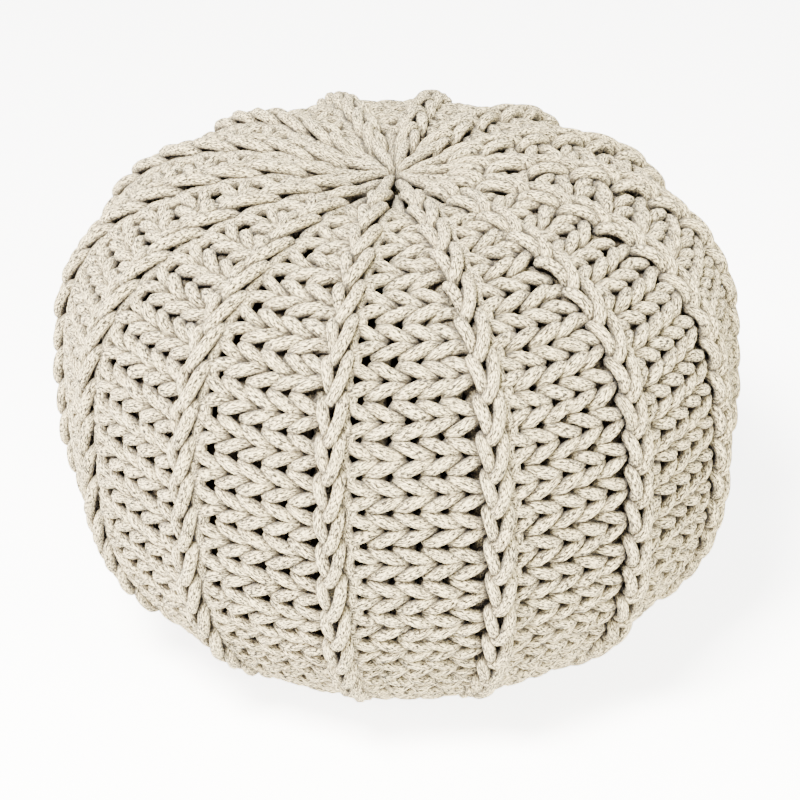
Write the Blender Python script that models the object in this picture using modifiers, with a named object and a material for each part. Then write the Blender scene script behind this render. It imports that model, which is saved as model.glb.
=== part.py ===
"""Round knitted pouf: one filled body with flattened gores, a raised rib on every
seam between them, and the gathers that draw the crown and the base shut.

Metres, +Z up. The pouf stands on z = 0 with its axis on Z, and one rib faces -Y.
"""
import math

import bmesh
import bpy
from mathutils import Vector

# Outside form, measured to the outer face of the ribs
DIAMETER = 0.500
EQUATOR_Z = 0.175          # height of the widest level above the floor
CROWN_RISE = 0.198         # from the widest level to the top of the crown
CROWN_FULLNESS = 3.14      # exponent of the crown's curve: 2 is an ellipse, more is squarer
BASE_DROP = 0.184          # how far the lower curve would reach if the floor did not flatten it
BASE_FULLNESS = 2.33
DIMPLE_DEPTH = 0.012       # the gather pulls the pole of the crown down
DIMPLE_REACH = 0.055
LEAN = -0.025              # the filling has settled, so the crown sits a little off its axis

# Gores and ribs
RIB_COUNT = 14
RIB_RADIUS = 0.008
RIB_TAPER = 0.18           # near the poles a rib is no thicker than this times its distance out
RIB_POINTS = 13
RIB_FOOT = 0.008           # a rib ends this high, where its seam turns under the base
PANEL_INSET = 0.0070       # the panels lie this far below the outer face of the ribs
PANEL_FLATNESS = 0.0025    # and this much lower still halfway between two ribs
INSET_FADE = 0.060         # the weight presses panels and ribs level below this height

# Gathers
GATHER_RADIUS = 0.022
GATHER_HEIGHT = 0.012
GATHER_HOLE = 0.005        # depth of the pucker in the middle
GATHER_STEPS = 24

# Fits and fineness
GAP = 0.0003               # between neighbouring pieces
FLOOR_GAP = 0.0006         # the base gather stays this far off the floor
CUTTER_EXTRA = 0.004       # how far a cutter runs on into the open
RIB_SIDES = 8
BODY_SIDES = RIB_COUNT * 5
BODY_RINGS = 18
OUTLINE_STEPS = 360
MERGE = 0.00001

COTTON = (0.74, 0.70, 0.62)
COTTON_ROUGHNESS = 0.9


def clear_scene():
    for item in list(bpy.data.objects):
        bpy.data.objects.remove(item, do_unlink=True)


def new_collection(name):
    collection = bpy.data.collections.new(name)
    bpy.context.scene.collection.children.link(collection)
    return collection


def cotton(name, shade):
    """A matt cotton material, shade times as bright as the plain cord."""
    material = bpy.data.materials.new(name)
    material.use_nodes = True
    shader = material.node_tree.nodes["Principled BSDF"]
    shader.inputs["Base Color"].default_value = [part * shade for part in COTTON] + [1.0]
    shader.inputs["Roughness"].default_value = COTTON_ROUGHNESS
    shader.inputs["Metallic"].default_value = 0.0
    return material


def outline():
    """(radius, height) down the outside, from the pole of the crown to the middle of the base."""
    points = []
    for step in range(OUTLINE_STEPS + 1):
        turn = math.pi * (0.5 - step / OUTLINE_STEPS)
        crown = turn > 0
        power = 2 / (CROWN_FULLNESS if crown else BASE_FULLNESS)
        radius = DIAMETER / 2 * max(math.cos(turn), 0.0) ** power
        if crown:
            dimple = DIMPLE_DEPTH * math.exp(-(radius / DIMPLE_REACH) ** 2)
            height = EQUATOR_Z + CROWN_RISE * math.sin(turn) ** power - dimple
        else:
            height = max(EQUATOR_Z - BASE_DROP * abs(math.sin(turn)) ** power, 0.0)
        points.append(Vector((radius, height)))
    return points


def walk(points, count):
    """count evenly spaced points along a line of points, each with the way out from it."""
    lengths = [0.0]
    for start, end in zip(points, points[1:]):
        lengths.append(lengths[-1] + (end - start).length)
    spaced = []
    segment = 0
    for index in range(count):
        wanted = lengths[-1] * index / (count - 1)
        while segment < len(points) - 2 and lengths[segment + 1] < wanted:
            segment += 1
        run = points[segment + 1] - points[segment]
        part = (wanted - lengths[segment]) / max(run.length, MERGE)
        spaced.append(points[segment] + run * min(part, 1.0))
    result = []
    for index, point in enumerate(spaced):
        run = spaced[min(index + 1, count - 1)] - spaced[max(index - 1, 0)]
        result.append((point, Vector((-run.y, run.x)).normalized()))
    return result


def place(angle, radius, height):
    """A point at an angle from -Y, with the lean of the crown."""
    lean = LEAN * (height - EQUATOR_Z)
    return Vector((radius * math.sin(angle) + lean, -radius * math.cos(angle), height))


def inset(angle, height):
    """How far a panel lies below the outer face of the ribs."""
    gore = math.tau / RIB_COUNT
    across = (angle / gore) % 1.0 * 2 - 1
    fade = min(height / INSET_FADE, 1.0)
    smooth = fade * fade * (3 - 2 * fade)
    return (PANEL_INSET + PANEL_FLATNESS * (1 - across * across)) * smooth


def make_body(material, collection, cutters):
    """The filled form: a sphere drawn onto the gored shape, with channels cut for the ribs."""
    rings = walk(outline(), BODY_RINGS + 1)
    shape = bmesh.new()
    bmesh.ops.create_uvsphere(shape, u_segments=BODY_SIDES, v_segments=BODY_RINGS, radius=1)
    for vertex in shape.verts:
        polar = math.acos(max(-1.0, min(1.0, vertex.co.z)))
        angle = math.atan2(vertex.co.x, -vertex.co.y)
        point, outward = rings[round(polar / math.pi * BODY_RINGS)]
        sunk = point - outward * inset(angle, point.y)
        vertex.co = place(angle, max(sunk.x, 0.0) if point.x > MERGE else 0.0, sunk.y)
    mesh = bpy.data.meshes.new("filled_body")
    shape.to_mesh(mesh)
    shape.free()
    body = bpy.data.objects.new("filled_body", mesh)
    mesh.materials.append(material)
    collection.objects.link(body)
    cut = body.modifiers.new("Channels and seats", "BOOLEAN")
    cut.operand_type = "COLLECTION"
    cut.collection = cutters
    cut.operation = "DIFFERENCE"
    cut.solver = "EXACT"
    return body


def rib_route():
    """(point, thickness) along the middle of a rib, in the plane of its seam."""
    outside = [
        point for point in outline() if point.x > GATHER_RADIUS + 2 * GAP and point.y > RIB_FOOT
    ]
    route = []
    for point, outward in walk(outside, RIB_POINTS):
        thickness = min(RIB_RADIUS, RIB_TAPER * point.x)
        route.append((point - outward * thickness, thickness))
    return route


def make_tube(name, points, material, collection):
    """A closed tube along (place, thickness) points."""
    curve = bpy.data.curves.new(name, "CURVE")
    curve.dimensions = "3D"
    curve.bevel_depth = 1.0
    curve.bevel_resolution = RIB_SIDES // 4
    curve.use_fill_caps = True
    spline = curve.splines.new("POLY")
    spline.points.add(len(points) - 1)
    for knot, (spot, thickness) in zip(spline.points, points):
        knot.co = (*spot, 1.0)
        knot.radius = thickness
    source = bpy.data.objects.new(name + "_curve", curve)
    collection.objects.link(source)
    evaluated = source.evaluated_get(bpy.context.evaluated_depsgraph_get())
    mesh = bpy.data.meshes.new_from_object(evaluated)
    bpy.data.objects.remove(source, do_unlink=True)
    shape = bmesh.new()
    shape.from_mesh(mesh)
    bmesh.ops.remove_doubles(shape, verts=shape.verts, dist=MERGE)
    bmesh.ops.recalc_face_normals(shape, faces=shape.faces)
    shape.to_mesh(mesh)
    shape.free()
    tube = bpy.data.objects.new(name, mesh)
    mesh.materials.clear()
    mesh.materials.append(material)
    collection.objects.link(tube)
    return tube


def make_cutter_of(item, collection):
    """Keep an object out of the renders and show it as wire."""
    item.hide_render = True
    item.display_type = "WIRE"
    for owner in list(item.users_collection):
        owner.objects.unlink(item)
    collection.objects.link(item)


def make_ribs(material, collection, cutters):
    """One raised rib on each seam, and the channel it lies in."""
    route = rib_route()
    room = GAP / math.cos(math.pi / RIB_SIDES)
    for index in range(RIB_COUNT):
        angle = math.tau * index / RIB_COUNT
        points = [(place(angle, centre.x, centre.y), thickness) for centre, thickness in route]
        make_tube(f"rib_{index + 1:02d}", points, material, collection)
        wider = [(spot, thickness + room) for spot, thickness in points]
        top_run = (points[0][0] - points[1][0]).normalized() * CUTTER_EXTRA
        base_run = (points[-1][0] - points[-2][0]).normalized() * GAP
        wider.insert(0, (points[0][0] + top_run, wider[0][1]))
        wider.append((points[-1][0] + base_run, wider[-1][1]))
        channel = make_tube(f"rib_channel_{index + 1:02d}", wider, material, collection)
        make_cutter_of(channel, cutters)


def make_gather(name, level, facing, material, collection, cutters):
    """A puckered disc that closes a pole, with the seat it lies in; facing is +1 up, -1 down."""
    half_hole = GATHER_RADIUS * 0.45
    side = [
        (0.0, -GATHER_HOLE),
        (half_hole * 0.4, -GATHER_HOLE * 0.8),
        (half_hole, 0.0),
        (GATHER_RADIUS * 0.8, 0.0),
        (GATHER_RADIUS, -GATHER_HEIGHT * 0.25),
        (GATHER_RADIUS, -GATHER_HEIGHT),
        (0.0, -GATHER_HEIGHT),
    ]
    mesh = bpy.data.meshes.new(name)
    corners = [(radius, 0.0, height) for radius, height in side]
    mesh.from_pydata(corners, [(k, k + 1) for k in range(len(corners) - 1)], [])
    mesh.materials.append(material)
    gather = bpy.data.objects.new(name, mesh)
    collection.objects.link(gather)
    turn = gather.modifiers.new("Turn", "SCREW")
    turn.steps = GATHER_STEPS
    turn.render_steps = GATHER_STEPS
    turn.use_merge_vertices = True
    turn.merge_threshold = MERGE
    turn.use_smooth_shade = False
    middle = place(0.0, 0.0, level)
    gather.location = middle
    gather.rotation_euler = (0.0 if facing > 0 else math.pi, 0.0, 0.0)

    depth = GATHER_HEIGHT + GAP + CUTTER_EXTRA
    seat_mesh = bpy.data.meshes.new(name + "_seat")
    shape = bmesh.new()
    bmesh.ops.create_cone(
        shape,
        cap_ends=True,
        segments=GATHER_STEPS,
        radius1=GATHER_RADIUS + GAP / math.cos(math.pi / GATHER_STEPS),
        radius2=GATHER_RADIUS + GAP / math.cos(math.pi / GATHER_STEPS),
        depth=depth,
    )
    shape.to_mesh(seat_mesh)
    shape.free()
    seat = bpy.data.objects.new(name + "_seat", seat_mesh)
    collection.objects.link(seat)
    inner_face = level - facing * (GATHER_HEIGHT + GAP)
    seat.location = (middle.x, 0.0, inner_face + facing * depth / 2)
    make_cutter_of(seat, cutters)


clear_scene()
parts = new_collection("knitted_pouf")
cutters = new_collection("cutters")
crown_level = outline()[0].y
make_ribs(cotton("rib_cord", 1.04), parts, cutters)
gather_cotton = cotton("gather_cord", 0.94)
make_gather("crown_gather", crown_level, 1, gather_cotton, parts, cutters)
make_gather("base_gather", FLOOR_GAP, -1, gather_cotton, parts, cutters)
make_body(cotton("knit", 1.0), parts, cutters)
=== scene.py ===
import math
import random

import bpy
import numpy as np
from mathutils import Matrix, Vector


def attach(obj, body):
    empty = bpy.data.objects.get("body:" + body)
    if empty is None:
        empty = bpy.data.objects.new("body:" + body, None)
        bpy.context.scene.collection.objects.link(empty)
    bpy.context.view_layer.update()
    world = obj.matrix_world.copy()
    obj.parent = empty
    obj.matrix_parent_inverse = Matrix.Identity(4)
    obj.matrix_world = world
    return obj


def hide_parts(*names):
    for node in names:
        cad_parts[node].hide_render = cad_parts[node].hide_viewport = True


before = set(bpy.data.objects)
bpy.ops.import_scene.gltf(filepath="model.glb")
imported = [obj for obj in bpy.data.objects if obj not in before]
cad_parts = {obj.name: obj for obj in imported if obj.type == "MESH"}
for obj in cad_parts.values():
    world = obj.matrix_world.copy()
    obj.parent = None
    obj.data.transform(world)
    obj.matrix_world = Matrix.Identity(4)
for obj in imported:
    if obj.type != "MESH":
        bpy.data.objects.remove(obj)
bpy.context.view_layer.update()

bpy.ops.object.select_all(action="DESELECT")


# ---------------------------------------------------------------------------------------------
# Filling. Loose fill in a sewn inner bag of non-woven polyester. It gives the pouf its
# form, and shows only in the holes between the stitches, which its near-black colour darkens.
# It is one closed padded form, a little smaller than the cover.

WIDTH = 0.500              # of the whole pouf, over its ribs
EQUATOR_Z = 0.175          # height of its widest place
CROWN_RISE = 0.198         # from there up to the crown, before the dimple is taken off
CROWN_FULLNESS = 3.14      # 2 is a round ball, and more is squarer
BASE_DROP = 0.184          # from the widest place down, where the floor cuts it off flat
BASE_FULLNESS = 2.33
DIMPLE_DEPTH = 0.012       # at the pole, where the cover is drawn in
DIMPLE_REACH = 0.055
LEAN = -0.025              # to the side, for each metre up, where the fill has settled
GORES = 14
GORE_ANGLE = math.tau / GORES
OUTLINE_STEPS = 1440       # steps down the outline
SMOOTH_OVER = 0.012        # the way out is smoothed over this much of the outline, both ways
TINY = 1e-12               # keeps a division from being by nothing
BAG_DEPTH = 0.0235         # below the outside of the cover
BAG_SEGMENTS = GORES * 8
BAG_RINGS = 64
POLE_REACH = 1e-4          # a point of the unit ball nearer its axis than this is a pole


def outline():
    """Radius and height down the outside, from the pole to the middle of the base."""
    turn = math.pi * (0.5 - np.arange(OUTLINE_STEPS + 1) / OUTLINE_STEPS)
    level = np.clip(np.cos(turn), 0, 1)
    rise = np.abs(np.sin(turn))
    crown = turn > 0
    radius = WIDTH / 2 * level ** np.where(crown, 2 / CROWN_FULLNESS, 2 / BASE_FULLNESS)
    dimple = DIMPLE_DEPTH * np.exp(-((radius / DIMPLE_REACH) ** 2))
    above = EQUATOR_Z + CROWN_RISE * rise ** (2 / CROWN_FULLNESS) - dimple
    below = np.maximum(EQUATOR_Z - BASE_DROP * rise ** (2 / BASE_FULLNESS), 0)
    return radius, np.where(crown, above, below)


out_radius, out_height = outline()
out_down = np.concatenate([[0], np.cumsum(np.hypot(np.diff(out_radius), np.diff(out_height)))])
FULL_LENGTH = out_down[-1]


def on_outline(down):
    """Radius, height and the way out (across, up) at distances down from the pole."""
    radius = np.interp(down, out_down, out_radius)
    height = np.interp(down, out_down, out_height)
    ahead = np.clip(down + SMOOTH_OVER, 0, FULL_LENGTH)
    behind = np.clip(down - SMOOTH_OVER, 0, FULL_LENGTH)
    along = np.interp(ahead, out_down, out_radius) - np.interp(behind, out_down, out_radius)
    drop = np.interp(ahead, out_down, out_height) - np.interp(behind, out_down, out_height)
    length = np.hypot(along, drop) + TINY
    return radius, height, -drop / length, along / length


def lay_on(angle, down, depth):
    """Places at an angle and a distance down, depth below the outside, and the ways out there."""
    radius, height, across, up = on_outline(down)
    radius = radius - across * depth
    height = height - up * depth
    places = np.stack([
        radius * np.sin(angle) + LEAN * (height - EQUATOR_Z),
        -radius * np.cos(angle),
        height,
    ], axis=-1)
    outward = np.stack([across * np.sin(angle), -across * np.cos(angle), up], axis=-1)
    return places, outward


def linear(hex_colour):
    """The linear colour of an sRGB hex value."""
    parts = [int(hex_colour[k:k + 2], 16) / 255 for k in (1, 3, 5)]
    return [p / 12.92 if p <= 0.04045 else ((p + 0.055) / 1.055) ** 2.4 for p in parts] + [1.0]


def new_material(name, settings):
    """A material with these (socket, value) settings on its shader, its nodes and its shader."""
    material = bpy.data.materials.new(name)
    material.use_nodes = True
    shader = material.node_tree.nodes["Principled BSDF"]
    for socket, value in settings:
        shader.inputs[socket].default_value = value
    return material, material.node_tree, shader


def finish_piece(piece):
    """Smooth shading, and what the frame has to know of a piece."""
    piece.data.polygons.foreach_set("use_smooth", [True] * len(piece.data.polygons))
    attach(piece, "root")


# A ball, with each point moved to its place on the bag. Its poles go back on the leaning axis.
bpy.ops.mesh.primitive_uv_sphere_add(segments=BAG_SEGMENTS, ring_count=BAG_RINGS, radius=1)
filling = bpy.context.object
filling.name = "filling"
ball = np.empty(len(filling.data.vertices) * 3)
filling.data.vertices.foreach_get("co", ball)
ball = ball.reshape(-1, 3)
ball_angle = np.arctan2(ball[:, 0], -ball[:, 1])
ball_down = np.arccos(np.clip(ball[:, 2], -1, 1)) / math.pi * FULL_LENGTH
bag_places, _ = lay_on(ball_angle, ball_down, BAG_DEPTH)
at_pole = np.hypot(ball[:, 0], ball[:, 1]) < POLE_REACH
bag_places[at_pole, :2] = [[LEAN * (z - EQUATOR_Z), 0] for z in bag_places[at_pole, 2]]
filling.data.vertices.foreach_set("co", bag_places.ravel())

# Non-woven polyester bag, coloured near-black brown and dull, so the holes show dark
bag_cloth, _, _ = new_material("polyester_bag_darkening_holes", [
    ("Base Color", linear("#1C1813")),
    ("Roughness", 1.0),
    ("Specular IOR Level", 0.1),
])
filling.data.materials.append(bag_cloth)
finish_piece(filling)
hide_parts("filled_body")


# ---------------------------------------------------------------------------------------------
# Knitted gores. Each is knitted sideways in thick braided cotton cord: the rows run from pole to
# pole, so the stitches lie as arrowheads pointing round the pouf. Rows stop short near the
# poles, where the gore narrows. A gore is one mesh of its rows, each a swept tube of real cord.

MM = 0.001
CORD_RADIUS = 0.0046
CORD_SIDES = 8
TIGHTEST = 0.86            # cord drawn tight near the poles is this much thinner
FLOOR_CLEARANCE = 0.0002   # cord that would reach the floor is pressed flat on it
LEAST_RADIUS = 0.012       # nearer the axis than this a place across takes no wider angle
STRAND_GAP = 0.05          # left between two cords in the pattern that they share

# Stitches
WALE = 0.0270              # height of one stitch at the sides, measured down the pouf
WALE_GROWTH = 0.024        # how much taller, for each metre nearer the pole than WALE_FROM
WALE_FROM = 0.320
CROWN_START = 0.0665       # the longest rows begin this far down from the pole
BASE_END = 0.064           # and end this far short of the middle of the base
ROW_PITCH = 0.0171         # width of one stitch round the pouf
ROW_SAMPLES = 16           # points along the cord in one stitch
SQUEEZE = (0.72, 1.12)     # least and most that a stitch gives sideways
CURVE_STEPS = 10           # points made between two given ones where a line is smoothed

# Depth below the outside of the ribs
KNIT_DEPTH = 0.0159        # the middle of the knit, at the sides
CROWN_DEPTH = 0.0141       # near the pole it lies almost level with them
CROWN_FADE = (0.070, 0.190)
MID_SINK = 0.0020          # and a little deeper halfway between two ribs
BASE_DEPTH = 0.0102        # under the base the cord is pressed level with the ribs
BASE_FADE = 0.085

# Rows
LEFT_EDGE = 0.0040         # the outermost loops stop this far short of the seam on the left
RIGHT_EDGE = 0.0020        # and run in under the rib on the right
LEAST_SPAN = 0.004         # the rows are never squeezed into less than this
ROW_OVERHANG = 0.55        # share of a row's width that the loops reach past the last row
FIRST_ROW = 0.86           # middle of the first row from the right edge, in rows' widths
# Narrowest free width of the gore, in metres, at which each row is still knitted, from the row
# that stops first to the one that is knitted all the way
ROW_WIDTHS = [0.089, 0.073, 0.057, 0.042, 0.0]
ROW_TAPER = 0.014          # a row fades out over this much of the gore's width
LEAST_SHARE = 0.5          # and its stitches stop where it has less of its width than this
CAP_SAMPLES = 14
CAP_LAP = 0.002            # the turn at a row's end laps this far over its last stitch

# Cords that bind the edges
EDGE_REACH = 0.0110        # how far from the seam the edge cord lies
EDGE_WAVE = 0.0022         # it swings this far in and out with each stitch
EDGE_SAMPLES = 8           # points along it for one stitch
LEFT_SINK = -0.0048        # it stands out of the knit on the left
RIGHT_SINK = 0.0035        # and lies in it on the right

# How unevenly a hand knits: most that it strays, distance from one change to the next, and where
# its random numbers start. A gore's rows take the numbers from SEEDS_A_GORE times its own on.
SEEDS_A_GORE = 100
ROW_DRIFT = (0.0014, 0.05, 0)        # a length of row, sideways
ROW_SHIFT = (0.0018, 0.07, 50)       # a length of row, up or down
LOOP_JITTER = (0.0007, 0.009, 20)    # one loop, sideways
LOOP_JOLT = (0.0008, 0.011, 30)      # one loop, up or down
CORD_SWELL = (0.06, 0.03, 70)        # the cord's thickness, as a share
EDGE_SLACK = (0.0022, 0.04, 400)     # the edge cord, sideways

# Half of one stitch in millimetres, from the middle of its sinker to the middle of its head:
# along the row, towards the next row, and out of the knit. The other half is its mirror image.
STITCH_WIDTH = 23.7 * MM
HALF_STITCH = [
    (0.0, -13.6, -4.2),    # middle of the sinker, behind
    (2.0, -13.8, -4.2),
    (5.6, -13.6, -3.4),
    (8.8, -12.6, -1.4),    # turns up into the foot
    (10.2, -9.8, 2.0),     # foot, comes forward through the last row's loop
    (8.7, -5.0, 4.8),      # leg, in front
    (6.0, 0.6, 6.0),
    (3.5, 5.8, 5.2),       # shoulder
    (2.4, 9.4, 2.2),
    (4.0, 11.2, -1.2),     # bends back into the head
    (7.6, 11.8, -2.8),
    (11.85, 11.8, -3.2),   # middle of the head, behind
]
# The cap over the end of a row that stops short: half of a ring round its last stitch
TURN_CAP = [
    (-2.0, -10.0, -5.0), (-6.0, -8.5, -1.0), (-8.5, -4.0, 2.5), (-9.0, 1.5, 3.2),
    (-7.5, 6.5, 2.5), (-3.0, 9.5, 0.5), (3.0, 10.5, -3.5),
]


def eased(share):
    """A share from 0 to 1 that leaves the one and reaches the other gently."""
    share = np.clip(share, 0, 1)
    return share * share * (3 - 2 * share)


def unit(ways):
    """Ways made one long."""
    return ways / (np.linalg.norm(ways, axis=-1, keepdims=True) + TINY)


def spaced(line, places):
    """Points on a line at these shares of its length."""
    steps = np.linalg.norm(np.diff(line, axis=0), axis=1)
    length = np.concatenate([[0], np.cumsum(steps)])
    return np.stack([np.interp(places * length[-1], length, part) for part in line.T], axis=-1)


def whole_stitch():
    """Evenly spaced points along one stitch, as (along, across, out) in metres."""
    half = np.array(HALF_STITCH) * MM
    mirror = half[::-1][1:-1].copy()
    mirror[:, 0] = STITCH_WIDTH - mirror[:, 0]
    end = np.array([[STITCH_WIDTH, half[0, 1], half[0, 2]]])
    return spaced(np.concatenate([half, mirror, end]), np.arange(ROW_SAMPLES) / ROW_SAMPLES)


def finer(points, count):
    """A smooth line (Catmull-Rom) through points in millimetres, as evenly spaced ones in metres."""
    points = np.array(points, float)
    knots = np.concatenate([[2 * points[0] - points[1]], points, [2 * points[-1] - points[-2]]])
    fine = []
    for k in range(1, len(knots) - 2):
        a, b, c, d = knots[k - 1:k + 3]
        for t in np.arange(CURVE_STEPS) / CURVE_STEPS:
            fine.append(0.5 * (2 * b + (c - a) * t + (2 * a - 5 * b + 4 * c - d) * t ** 2
                               + (3 * b - a - 3 * c + d) * t ** 3))
    fine.append(points[-1])
    return spaced(np.array(fine), np.linspace(0, 1, count)) * MM


def wander(size, spacing, first_seed, seed):
    """A smooth random curve down the pouf, as a function of the distance from the pole."""
    source = random.Random(first_seed + seed)
    spans = int(FULL_LENGTH / spacing) + 2
    knots = np.array([source.uniform(-size, size) for _ in range(spans + 1)])

    def value(distance):
        place = np.clip(np.asarray(distance) / spacing, 0, spans)
        low = np.minimum(np.floor(place).astype(int), spans - 1)
        part = eased(place - low)
        return knots[low] * (1 - part) + knots[low + 1] * part
    return value


def sweep(strands, name):
    """One mesh of closed round cords. Each strand is (points, ways out, radii, depths).

    Every vertex keeps its place on its own straightened cord in the attribute "cord", so that
    the braid and the flecks follow the cord round each bend, and its depth in "depth".
    """
    turns = np.arange(CORD_SIDES) / CORD_SIDES * math.tau
    ring_cos, ring_sin = np.cos(turns), np.sin(turns)
    vertices, cords, depths, faces = [], [], [], []
    first = 0
    start_along = 0.0
    for points, outward, radii, depth in strands:
        count = len(points)
        tangents = unit(np.gradient(points, axis=0))
        sides = unit(np.cross(tangents, outward))
        side = sides[0]
        for k in range(count):
            side = unit(side - tangents[k] * side.dot(tangents[k]))
            sides[k] = side
        uppers = np.cross(sides, tangents)
        steps = np.linalg.norm(np.diff(points, axis=0), axis=1)
        along = start_along + np.concatenate([[0], np.cumsum(steps)])
        ring = (
            points[:, None, :]
            + radii[:, None, None] * ring_cos[None, :, None] * sides[:, None, :]
            + radii[:, None, None] * ring_sin[None, :, None] * uppers[:, None, :]
        )
        ring[..., 2] = np.maximum(ring[..., 2], FLOOR_CLEARANCE)
        vertices.append(ring.reshape(-1, 3))
        cord = np.empty((count, CORD_SIDES, 3))
        cord[..., 0] = along[:, None]
        cord[..., 1] = ring_cos[None, :] * CORD_RADIUS
        cord[..., 2] = ring_sin[None, :] * CORD_RADIUS
        cords.append(cord.reshape(-1, 3))
        raised = (sides * outward).sum(axis=1)[:, None] * ring_cos[None, :]
        raised = raised + (uppers * outward).sum(axis=1)[:, None] * ring_sin[None, :]
        depths.append((depth[:, None] - radii[:, None] * raised).ravel())
        rows = np.arange(count - 1)[:, None] * CORD_SIDES + first
        here = np.arange(CORD_SIDES)[None, :]
        there = (here + 1) % CORD_SIDES
        quads = np.stack([
            rows + here, rows + CORD_SIDES + here, rows + CORD_SIDES + there, rows + there,
        ], axis=-1)
        faces.extend(quads.reshape(-1, 4).tolist())
        last = first + (count - 1) * CORD_SIDES
        faces.append([first + k for k in range(CORD_SIDES)])
        faces.append([last + k for k in reversed(range(CORD_SIDES))])
        first = last + CORD_SIDES
        start_along = along[-1] + STRAND_GAP
    mesh = bpy.data.meshes.new(name)
    mesh.from_pydata(np.concatenate(vertices).tolist(), [], faces)
    placed = mesh.attributes.new("cord", "FLOAT_VECTOR", "POINT")
    placed.data.foreach_set("vector", np.concatenate(cords).ravel().astype(np.float32))
    sunk = mesh.attributes.new("depth", "FLOAT", "POINT")
    sunk.data.foreach_set("value", np.concatenate(depths).astype(np.float32))
    piece = bpy.data.objects.new(name, mesh)
    bpy.context.scene.collection.objects.link(piece)
    return piece


def knit_depth(across, down):
    """How deep the middle of the knit lies, for a place across its gore from -1 to 1."""
    near = eased((down - CROWN_FADE[0]) / (CROWN_FADE[1] - CROWN_FADE[0]))
    side = CROWN_DEPTH + (KNIT_DEPTH - CROWN_DEPTH) * near + MID_SINK * (1 - across * across)
    return BASE_DEPTH + (side - BASE_DEPTH) * eased(on_outline(down)[1] / BASE_FADE)


def angle_across(across, down):
    """The angle that a distance across takes up at a distance down."""
    return across / np.maximum(on_outline(down)[0], LEAST_RADIUS)


def wale_lines():
    """Distances down from the pole to the lines between stitches, one list for every gore."""
    lines = [CROWN_START]
    while lines[-1] < FULL_LENGTH - BASE_END:
        taller = max(WALE_FROM - lines[-1], 0) * WALE_GROWTH
        lines.append(lines[-1] + WALE + taller)
    fit = (FULL_LENGTH - BASE_END - CROWN_START) / (lines[-1] - CROWN_START)
    return np.array([CROWN_START + (line - CROWN_START) * fit for line in lines])


def gore_width(down):
    """Width of a gore from seam to seam."""
    return on_outline(down)[0] * GORE_ANGLE


def row_shares(down):
    """How much of its full width each row takes at a distance down, as (rows, places)."""
    width = gore_width(down)
    part = [(width - narrowest) / ROW_TAPER for narrowest in ROW_WIDTHS]
    part[-1] = np.ones_like(width)
    return np.clip(np.array(part), 0, 1)


def row_centres(down):
    """Places of the rows across the gore, positive to the right, and their pitch."""
    shares = row_shares(down)
    width = gore_width(down)
    span = np.maximum(width - LEFT_EDGE - RIGHT_EDGE, LEAST_SPAN)
    pitch = span / (shares.sum(axis=0) + ROW_OVERHANG)
    before = np.cumsum(shares, axis=0) - shares
    right = width / 2 - RIGHT_EDGE
    return right - pitch * (FIRST_ROW + before + (shares - 1) / 2), pitch


WALE_LINES = wale_lines()
stitch = whole_stitch()


def knit_row(gore, row):
    """The cord of one row of a gore, and the caps at its ends."""
    seed = gore * SEEDS_A_GORE + row
    drift = wander(*ROW_DRIFT, seed)
    shift = wander(*ROW_SHIFT, seed)
    jitter = wander(*LOOP_JITTER, seed)
    jolt = wander(*LOOP_JOLT, seed)
    swell = wander(*CORD_SWELL, seed)
    tops = WALE_LINES[:-1]
    wales = np.diff(WALE_LINES)
    kept = np.flatnonzero(row_shares(tops + wales / 2)[row] > LEAST_SHARE)
    tops = tops[kept[0]:kept[-1] + 1]
    wales = wales[kept[0]:kept[-1] + 1]
    down = (tops[:, None] + stitch[None, :, 0] * wales[:, None] / STITCH_WIDTH).ravel()
    cap = finer(TURN_CAP, CAP_SAMPLES)
    strands = [
        (down, np.tile(stitch[:, 1], len(tops)), np.tile(stitch[:, 2], len(tops))),
        (tops[0] + cap[:, 0] + CAP_LAP, -cap[:, 1], cap[:, 2]),
        (tops[-1] + wales[-1] - cap[:, 0] - CAP_LAP, -cap[:, 1], cap[:, 2]),
    ]
    built = []
    for down, reach, out in strands:
        centres, pitch = row_centres(down)
        across = centres[row] - reach * np.clip(pitch / ROW_PITCH, *SQUEEZE)
        across = across + drift(down) + jitter(down)
        down = down + shift(down) + jolt(down)
        depth = knit_depth(across / (gore_width(down) / 2), down) - out
        angle = GORE_ANGLE * (gore + 0.5) + angle_across(across, down)
        places, outward = lay_on(angle, down, depth)
        drawn = np.clip(pitch / ROW_PITCH, TIGHTEST, 1)
        built.append((places, outward, CORD_RADIUS * drawn * (1 + swell(down)), depth))
    return built


def edge_cord(gore, side):
    """The cord that binds one edge of a gore (-1 left, 1 right) to the rib beside it."""
    wave = np.arange(len(WALE_LINES) * EDGE_SAMPLES) / EDGE_SAMPLES
    down = np.interp(wave, np.arange(len(WALE_LINES)), WALE_LINES)
    across = side * (gore_width(down) / 2 - EDGE_REACH) + EDGE_WAVE * np.cos(wave * math.tau)
    across = across + wander(*EDGE_SLACK, gore + side)(down)
    sink = LEFT_SINK if side < 0 else RIGHT_SINK
    depth = knit_depth(across / (gore_width(down) / 2), down) + sink
    angle = GORE_ANGLE * (gore + 0.5) + angle_across(across, down)
    places, outward = lay_on(angle, down, depth)
    return places, outward, np.full(len(down), CORD_RADIUS), depth


def add_node(tree, kind, inputs=(), **settings):
    """Adds a node with its settings. An input is (name or number, a value or a socket)."""
    node = tree.nodes.new(kind)
    for name, value in settings.items():
        setattr(node, name, value)
    for name, value in inputs:
        if isinstance(value, bpy.types.NodeSocket):
            tree.links.new(value, node.inputs[name])
        else:
            node.inputs[name].default_value = value
    return node


def reckon(tree, operation, *values):
    """The result of one sum on sockets and numbers."""
    node = add_node(tree, "ShaderNodeMath", list(enumerate(values)), operation=operation)
    return node.outputs[0]


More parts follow.
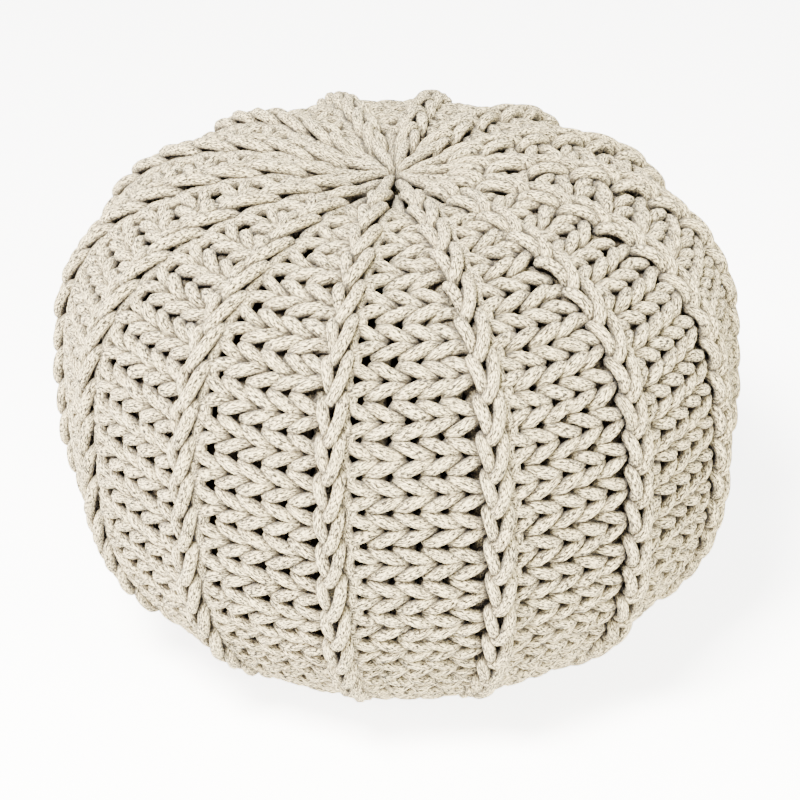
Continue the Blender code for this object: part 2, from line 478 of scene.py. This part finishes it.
def noise(tree, vector, scale, detail, roughness):
    """The strength of a noise, its scale in grains for each metre."""
    return add_node(tree, "ShaderNodeTexNoise", [
        ("Vector", vector), ("Scale", scale), ("Detail", detail), ("Roughness", roughness),
    ]).outputs["Fac"]


def fade(tree, value, start, end, most=1.0):
    """A share that grows from 0 at one value to its most at another, gently at both ends."""
    return add_node(tree, "ShaderNodeMapRange", [
        ("Value", value), ("From Min", start), ("From Max", end), ("To Max", most),
    ], interpolation_type="SMOOTHSTEP").outputs[0]


# Sockets of a Mix node that mixes colours
MIX_SHARE, MIX_FIRST, MIX_SECOND, MIXED = 0, 6, 7, 2


def blend(tree, share, first, second):
    """A colour between two."""
    return add_node(tree, "ShaderNodeMix", [
        (MIX_SHARE, share), (MIX_FIRST, first), (MIX_SECOND, second),
    ], data_type="RGBA").outputs[MIXED]


# Braided cotton cord, undyed: a soft, dull off-white with the dark flecks of seed husk that
# unbleached cotton keeps. Two sets of strands cross at a slant round it. The braid and the
# flecks are drawn coarser than in real cord, so that they show from a few steps away.
CORD_STRANDS = 6
BRAID_PITCH = 0.0044       # length of one crossing of the braid
BRAID_RELIEF = 0.0009
FIBRE_RELIEF = 0.0018
FIBRES = 1.5 / MM          # 1.5 fibres show in a millimetre
FLECKS = 1.2 / MM
TONES = 0.06 / MM          # the yarn changes tone every 17 mm or so
ALONG_CORD = (0.34, 1.0, 1.0)   # fibres and flecks are three times as long as wide
FLECK_AMOUNT = (0.475, 0.55)    # noise at which a fleck starts, and at which it is full
FURROW_SHADE = (0.10, -0.60)     # height of the braid at which the painted shade in its furrows starts, and is full
# most that the painted furrow shade darkens the yarn
FURROW_SHADE_MOST = 0.45
DUSK = (0.013, 0.021)      # depth at which the knit starts to lie in the dark, and is all in it
CREVICE_REACH = 0.010      # cords nearer than this shade each other
CREVICE = (0.93, 0.32)     # share of open air at which the painted crevice shade starts, and is full

cotton, tree, cotton_shader = new_material("braided_cotton_cord", [
    ("Roughness", 0.92),
    ("Specular IOR Level", 0.25),
    ("Sheen Weight", 0.12),
    ("Sheen Roughness", 0.6),
])
place = add_node(tree, "ShaderNodeAttribute", attribute_name="cord").outputs["Vector"]
split = add_node(tree, "ShaderNodeSeparateXYZ", [("Vector", place)]).outputs
round_cord = reckon(tree, "ARCTAN2", split["Z"], split["Y"])
round_phase = reckon(tree, "MULTIPLY", round_cord, CORD_STRANDS)
along_phase = reckon(tree, "MULTIPLY", split["X"], math.tau / BRAID_PITCH)
one_way = reckon(tree, "SINE", reckon(tree, "ADD", round_phase, along_phase))
other_way = reckon(tree, "SINE", reckon(tree, "SUBTRACT", round_phase, along_phase))
braid = reckon(tree, "MAXIMUM", one_way, other_way)

# Cream yarn that changes tone a little, with husk flecks, and painted shade in the furrows of the
# braid
stretch = add_node(tree, "ShaderNodeVectorMath", [(0, place), (1, ALONG_CORD)],
                   operation="MULTIPLY").outputs[0]
fibres = noise(tree, stretch, FIBRES, detail=3.0, roughness=0.65)
flecks = noise(tree, stretch, FLECKS, detail=2.0, roughness=0.7)
tones = noise(tree, place, TONES, detail=2.0, roughness=0.5)
fleck_and_furrow_shade = reckon(tree, "MAXIMUM", fade(tree, flecks, *FLECK_AMOUNT),
               fade(tree, braid, *FURROW_SHADE, FURROW_SHADE_MOST))
yarn = blend(tree, tones, linear("#EFD9A2"), linear("#FAEABC"))
flecked_and_furrow_shaded = blend(tree, fleck_and_furrow_shade, yarn, linear("#2C2415"))

# Painted shade: between the cords and deep in the knit the colour is darker and browner
deep = add_node(tree, "ShaderNodeAttribute", attribute_name="depth").outputs["Fac"]
open_air = add_node(tree, "ShaderNodeAmbientOcclusion", [("Distance", CREVICE_REACH)],
                    samples=6).outputs["AO"]
crevice = add_node(tree, "ShaderNodeMapRange", [
    ("Value", open_air), ("From Min", CREVICE[0]), ("From Max", CREVICE[1]),
]).outputs[0]
gloom = reckon(tree, "MAXIMUM", fade(tree, deep, *DUSK), crevice)
shaded = blend(tree, gloom, flecked_and_furrow_shaded, linear("#453B2A"))
tree.links.new(shaded, cotton_shader.inputs["Base Color"])

braid_bump = add_node(tree, "ShaderNodeBump", [
    ("Height", braid), ("Strength", 1.0), ("Distance", BRAID_RELIEF),
]).outputs[0]
fibre_bump = add_node(tree, "ShaderNodeBump", [
    ("Height", fibres), ("Normal", braid_bump), ("Strength", 1.0), ("Distance", FIBRE_RELIEF),
]).outputs[0]
tree.links.new(fibre_bump, cotton_shader.inputs["Normal"])

for gore in range(GORES):
    strands = [strand for row in range(len(ROW_WIDTHS)) for strand in knit_row(gore, row)]
    strands += [edge_cord(gore, -1), edge_cord(gore, 1)]
    piece = sweep(strands, f"gore_{gore + 1:02d}")
    piece.data.materials.append(cotton)
    finish_piece(piece)


# ---------------------------------------------------------------------------------------------
# Ribs. On every seam the stitches are cast off into a raised chain of the same cord, one link
# to each stitch of the gores. A link is a short stroke on the left that dives at the ridge and
# a long stroke on the right that comes over it, so the chain reads as a rope.

RIB_CORD_RADIUS = 0.0043
RIB_TOP = 0.038            # the chain starts this far down from the pole
RIB_RIDGE = 0.0063         # depth of the middle of the strokes below the outside
RIB_PRESSED = 0.002        # and how much deeper under the base
RIB_LINK = 0.0262          # length of a link as drawn below, stretched to its stitch
NARROWEST = 0.40           # width of the chain at the pole, as a share
WIDENS_OVER = 0.16         # distance from the axis in which it would widen by its full width
THINNEST = 0.82            # thickness of its cord where the chain has no width, as a share
STROKE_WOBBLE = 0.0007     # most that a stroke is out of place
STROKE_SWELL = 0.04        # and out of thickness, as a share
END_TAPER = 0.70           # thickness of a stroke's tucked ends
NEXT_TAPER = 0.88          # and of the points next to them
STROKE_SAMPLES = 12
CHAIN_WEAVE = (0.0012, 0.06, 900)    # the whole chain, sideways
CHAIN_SLIDE = (0.003, 0.12, 950)     # the whole chain, up or down
# (across, down, out) in millimetres from the middle of a link on the ridge
LEFT_STROKE = [
    (-5.2, -13.5, -8.0), (-6.6, -10.4, -1.8), (-6.2, -5.4, 1.3), (-4.8, 0.2, 1.8),
    (-3.2, 5.6, 0.4), (-1.8, 9.4, -3.0), (-0.8, 11.6, -8.0),
]
RIGHT_STROKE = [
    (4.8, -19.5, -8.0), (6.2, -15.2, -2.4), (6.2, -9.0, 1.2), (5.0, -1.4, 2.9),
    (2.6, 6.0, 3.7), (0.0, 11.8, 2.9), (-2.2, 15.6, -0.8), (-2.8, 17.2, -6.0),
]

STROKE_SEED = 14

dice = random.Random(STROKE_SEED)
strokes = (finer(LEFT_STROKE, STROKE_SAMPLES), finer(RIGHT_STROKE, STROKE_SAMPLES + 2))


def rib_links(seam):
    """The strokes of the chain on one seam."""
    weave = wander(*CHAIN_WEAVE, seam)
    slide = wander(*CHAIN_SLIDE, seam)
    above = np.arange(WALE_LINES[0], RIB_TOP, -WALE)[1:][::-1]
    below = np.arange(WALE_LINES[-1], FULL_LENGTH - RIB_TOP, WALE)[1:]
    lines = np.concatenate([above, WALE_LINES, below])
    strands = []
    for top, bottom in zip(lines[:-1], lines[1:]):
        middle = (top + bottom) / 2
        middle += float(slide(middle))
        narrow = min(1.0, NARROWEST + float(on_outline(middle)[0]) / WIDENS_OVER)
        size = RIB_CORD_RADIUS * (THINNEST + (1 - THINNEST) * narrow)
        for stroke in strokes:
            wobble = [dice.uniform(-STROKE_WOBBLE, STROKE_WOBBLE) for _ in range(3)]
            down = middle + stroke[:, 1] * (bottom - top) / RIB_LINK + wobble[1]
            down = np.clip(down, 0, FULL_LENGTH)
            across = stroke[:, 0] * narrow + wobble[0] + float(weave(middle))
            pressed = 1 - np.clip(on_outline(down)[1] / BASE_FADE, 0, 1)
            depth = RIB_RIDGE + RIB_PRESSED * pressed - stroke[:, 2] - wobble[2]
            places, outward = lay_on(GORE_ANGLE * seam + angle_across(across, down), down, depth)
            taper = np.ones(len(down))
            taper[[0, -1]] = END_TAPER
            taper[[1, -2]] = NEXT_TAPER
            swell = 1 + dice.uniform(-STROKE_SWELL, STROKE_SWELL)
            strands.append((places, outward, size * swell * taper, depth))
    return strands


for seam in range(GORES):
    piece = sweep(rib_links(seam), f"rib_chain_{seam + 1:02d}")
    piece.data.materials.append(cotton)
    finish_piece(piece)
    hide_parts(f"rib_{seam + 1:02d}")


# ---------------------------------------------------------------------------------------------
# Gathers. At each pole the cord ends of the seams are drawn together into a small hole and tied
# off inside, so they run in like the spokes of a wheel and dive into the hole.

# (distance from the pole, depth) in millimetres, down a seam and down the middle of a gore.
# Every other seam's cord is tucked in under its neighbours.
SEAM_TRACK = [
    (60.0, 3.5), (48.0, 0.6), (36.0, -0.8), (26.0, -1.8), (17.0, -2.6), (10.5, -3.0),
    (7.2, -1.8), (5.6, 1.6), (5.0, 6.5), (4.8, 14.0),
]
TUCKED_TRACK = [
    (60.0, 3.5), (48.0, 0.8), (36.0, -0.2), (26.0, -0.6), (18.0, -0.4), (12.5, 0.8),
    (9.6, 3.4), (8.4, 7.5), (8.0, 12.0), (7.8, 17.0),
]
GORE_TRACK = [
    (80.0, 11.0), (72.0, 5.5), (60.0, 4.6), (48.0, 4.8), (36.0, 5.2), (27.0, 7.0), (20.0, 12.0),
]
SPOKE_TRACKS = (SEAM_TRACK, GORE_TRACK, TUCKED_TRACK, GORE_TRACK)
SPOKE_LIFTS = (0.0012, 0, 0, 0)      # the cord that is not tucked in stands out by this
SPOKE_SAMPLES = 14
SPOKE_TURN = 0.05          # most that a cord is turned out of its place, in radians
SPOKE_STRAY = 0.0010       # and out of its depth
SPOKE_DRAWN = 0.26         # thickness near the hole, for each metre from the pole
SPOKE_RADII = (0.0032, 0.0043)       # but no thinner or thicker than these
GATHER_REST = 0.0060       # depth at which a track's own depths start
BASE_LIFT = 0.0024         # under the base they are pressed level


def gather_cords(crown):
    """The cords that run into one pole, one from each seam and one from each gore."""
    rest = GATHER_REST if crown else GATHER_REST + BASE_LIFT
    strands = []
    for spoke in range(2 * GORES):
        kind = spoke % len(SPOKE_TRACKS)
        turn_by = dice.uniform(-SPOKE_TURN, SPOKE_TURN)
        lift = dice.uniform(-SPOKE_STRAY, SPOKE_STRAY) + SPOKE_LIFTS[kind]
        track = finer(SPOKE_TRACKS[kind], SPOKE_SAMPLES)
        down = track[:, 0] if crown else FULL_LENGTH - track[:, 0]
        angle = np.full(len(down), GORE_ANGLE * spoke / 2 + turn_by)
        depth = track[:, 1] + rest - lift
        places, outward = lay_on(angle, down, depth)
        strands.append((places, outward, np.clip(track[:, 0] * SPOKE_DRAWN, *SPOKE_RADII), depth))
    return strands


for name, crown in (("crown_gather_cords", True), ("base_gather_cords", False)):
    piece = sweep(gather_cords(crown), name)
    piece.data.materials.append(cotton)
    finish_piece(piece)
    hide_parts("crown_gather" if crown else "base_gather")


# ---------------------------------------------------------------------------------------------
# Studio: a floor of white paper, broad soft light from above and both sides, and the camera at
# a standing person's view, a little above the pouf.

FLOOR_SIZE = 14
FLOOR_Z = -0.001           # clear of the cords that are pressed flat on it
FLOOR_LIGHT = 0.6          # light that the lit paper sends back up
FLOOR_SHOWN = 4.0          # and how much more of it the camera sees, so that it reads as white
SKY_LIGHT = 0.65
SKY_SHOWN = 3.0
LIGHT_AIM = (0, 0, 0.2)
CAMERA_TURN = math.radians(10.33)
CAMERA_RISE = math.radians(29.46)
CAMERA_DISTANCE = 1.818
CAMERA_LENS = 111.15       # in millimetres, as is the sensor
CAMERA_SENSOR = 36
CAMERA_SHIFT = (-0.0004, 0.0027)


def brighter_seen(tree, light, shown):
    """A strength that lights the pouf by one amount and shows the camera a greater one."""
    seen = add_node(tree, "ShaderNodeLightPath").outputs["Is Camera Ray"]
    return reckon(tree, "MULTIPLY_ADD", seen, shown, light)


def add_light(name, spot, size, power, colour):
    """A soft square lamp at a spot, aimed at the pouf."""
    lamp = bpy.data.lights.new(name, "AREA")
    lamp.shape = "SQUARE"
    lamp.size = size
    lamp.energy = power
    lamp.color = linear(colour)[:3]
    holder = bpy.data.objects.new(name, lamp)
    holder.location = spot
    holder.rotation_euler = (Vector(LIGHT_AIM) - Vector(spot)).to_track_quat("-Z", "Y").to_euler()
    bpy.context.scene.collection.objects.link(holder)


# White paper: dull, with no gloss, and lit from all round
paper, tree, paper_shader = new_material("white_paper", [
    ("Base Color", linear("#FAFAFA")),
    ("Roughness", 1.0),
    ("Emission Color", linear("#FFFFFF")),
])
paper_glow = brighter_seen(tree, FLOOR_LIGHT, FLOOR_SHOWN)
tree.links.new(paper_glow, paper_shader.inputs["Emission Strength"])
bpy.ops.object.select_all(action="DESELECT")
bpy.ops.mesh.primitive_plane_add(size=FLOOR_SIZE, location=(0, 0, FLOOR_Z))
floor = bpy.context.object
floor.name = "floor"
floor.data.materials.append(paper)

world = bpy.data.worlds.new("studio")
bpy.context.scene.world = world
world.use_nodes = True
sky = world.node_tree.nodes["Background"]
sky.inputs["Color"].default_value = linear("#FFFFFF")
sky_glow = brighter_seen(world.node_tree, SKY_LIGHT, SKY_SHOWN)
world.node_tree.links.new(sky_glow, sky.inputs["Strength"])

add_light("key", spot=(-0.4, -1.4, 2.2), size=0.7, power=520, colour="#FFFDF6")
add_light("left", spot=(-2.0, -1.2, 0.9), size=1.0, power=155, colour="#FFF6F0")
add_light("right", spot=(2.0, -1.2, 0.9), size=1.0, power=175, colour="#FFFCE8")

camera_data = bpy.data.cameras.new("camera")
camera_data.sensor_width = CAMERA_SENSOR
camera_data.lens = CAMERA_LENS
camera_data.shift_x, camera_data.shift_y = CAMERA_SHIFT
camera = bpy.data.objects.new("camera", camera_data)
away = Vector((
    math.sin(CAMERA_TURN) * math.cos(CAMERA_RISE),
    -math.cos(CAMERA_TURN) * math.cos(CAMERA_RISE),
    math.sin(CAMERA_RISE),
))
camera.location = Vector((0, 0, EQUATOR_Z)) + away * CAMERA_DISTANCE
camera.rotation_euler = (-away).to_track_quat("-Z", "Y").to_euler()
bpy.context.scene.collection.objects.link(camera)
bpy.context.scene.camera = camera
